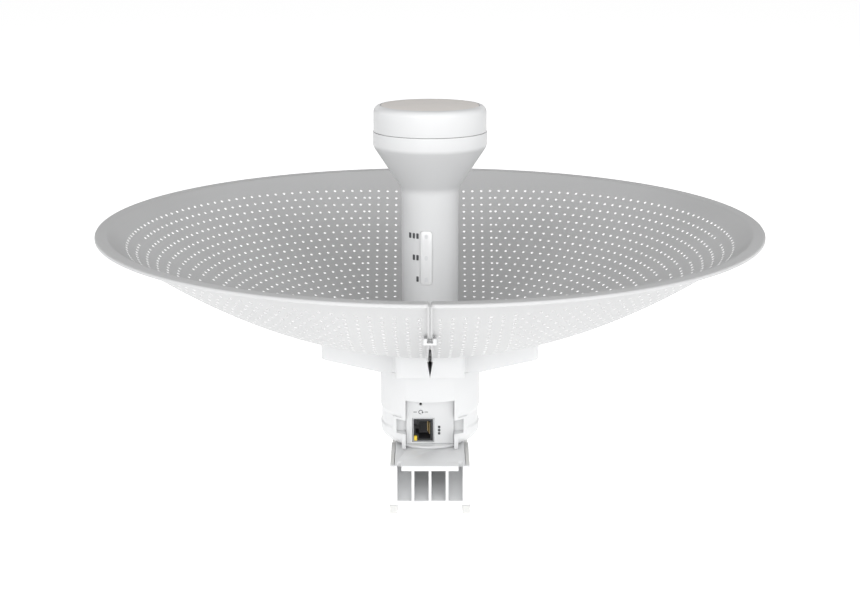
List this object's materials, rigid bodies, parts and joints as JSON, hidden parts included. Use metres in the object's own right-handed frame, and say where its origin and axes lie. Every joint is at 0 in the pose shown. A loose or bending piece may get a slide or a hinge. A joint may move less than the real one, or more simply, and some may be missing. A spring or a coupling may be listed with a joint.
{
  "type": "outdoor wireless bridge",
  "caption": "Outdoor point-to-point wireless bridge: split perforated dish, central feed stem with antenna head, round housing with port bay, ribbed pole saddle.",
  "frame": {"origin": "under the middle of the saddle, level with the free ends of its grip pads", "axes": "+Z along the beam from the saddle through the stem to the antenna head, +Y from the port bay towards the rear, +X to the right of someone who faces the port bay"},
  "size_m": [0.42, 0.4196, 0.2522],
  "materials": {
    "white_shell": "satin moulded weather-resistant plastic, slightly cool white",
    "reflector_paint": "fine satin powder coat, pale grey white",
    "grey_inlay": "matt warm grey",
    "grip_grey": "matt pale grey elastomer",
    "clear_lens": "milky clear moulding",
    "circuit_board": "green solder mask",
    "bare_metal": "tinned or bare sheet",
    "screw_steel": "zinc-plated steel",
    "gold_contact": "gold-flashed spring wire",
    "black_plastic": "dark moulded insulator",
    "seal_rubber": "dark soft elastomer",
    "amber_led": "amber diffused lens"
  },
  "bodies": {
    "bridge": {"pole_saddle": "white_shell", "rear_housing": "white_shell", "port_panel": "white_shell", "reflector_bracket": "white_shell", "seam_clip_front": "white_shell", "seam_clip_rear": "white_shell", "stem_collar": "white_shell", "feed_tube": "white_shell", "head_cap": "white_shell", "head_spacer_1": "white_shell", "head_spacer_2": "white_shell", "head_spacer_3": "white_shell", "grip_pad_front_left": "grip_grey", "grip_pad_front_right": "grip_grey", "grip_pad_rear_left": "grip_grey", "grip_pad_rear_right": "grip_grey", "port_gasket": "seal_rubber", "stem_seal": "seal_rubber", "cap_seal": "seal_rubber", "jack_shield": "bare_metal", "jack_insert": "black_plastic", "jack_contacts": "gold_contact", "jack_led_lower": "amber_led", "jack_led_upper": "clear_lens", "reset_switch": "black_plastic", "main_board": "circuit_board", "feed_board": "circuit_board", "processor_shield": "bare_metal", "heat_spreader": "bare_metal", "radio_shield": "bare_metal", "amplifier_shield": "bare_metal", "driven_patch": "bare_metal", "patch_post": "bare_metal", "sub_reflector": "bare_metal", "lan_transformer": "black_plastic", "power_inductor": "black_plastic", "bulk_capacitor": "black_plastic", "stem_lock_nut": "black_plastic", "housing_screw_1": "screw_steel", "saddle_screw_1": "screw_steel", "collar_screw_1": "screw_steel", "housing_screw_2": "screw_steel", "saddle_screw_2": "screw_steel", "collar_screw_2": "screw_steel", "housing_screw_3": "screw_steel", "saddle_screw_3": "screw_steel", "collar_screw_3": "screw_steel", "housing_screw_4": "screw_steel", "saddle_screw_4": "screw_steel", "collar_screw_4": "screw_steel", "reflector_left": "reflector_paint", "reflector_right": "reflector_paint", "signal_window": "clear_lens", "light_guide": "clear_lens", "signal_led_1": "clear_lens", "signal_led_2": "clear_lens", "signal_led_3": "clear_lens", "cap_disc": "grey_inlay"},
    "reset_button": {"reset_button": "black_plastic"}
  },
  "joints": [
    {"name": "reset_press", "type": "slide", "parent": "bridge", "child": "reset_button", "axis": [0, 1, 0], "range_m": [0, 0.0005], "stiffness_N_per_m": 2000, "springref_m": -0.0002}
  ]
}
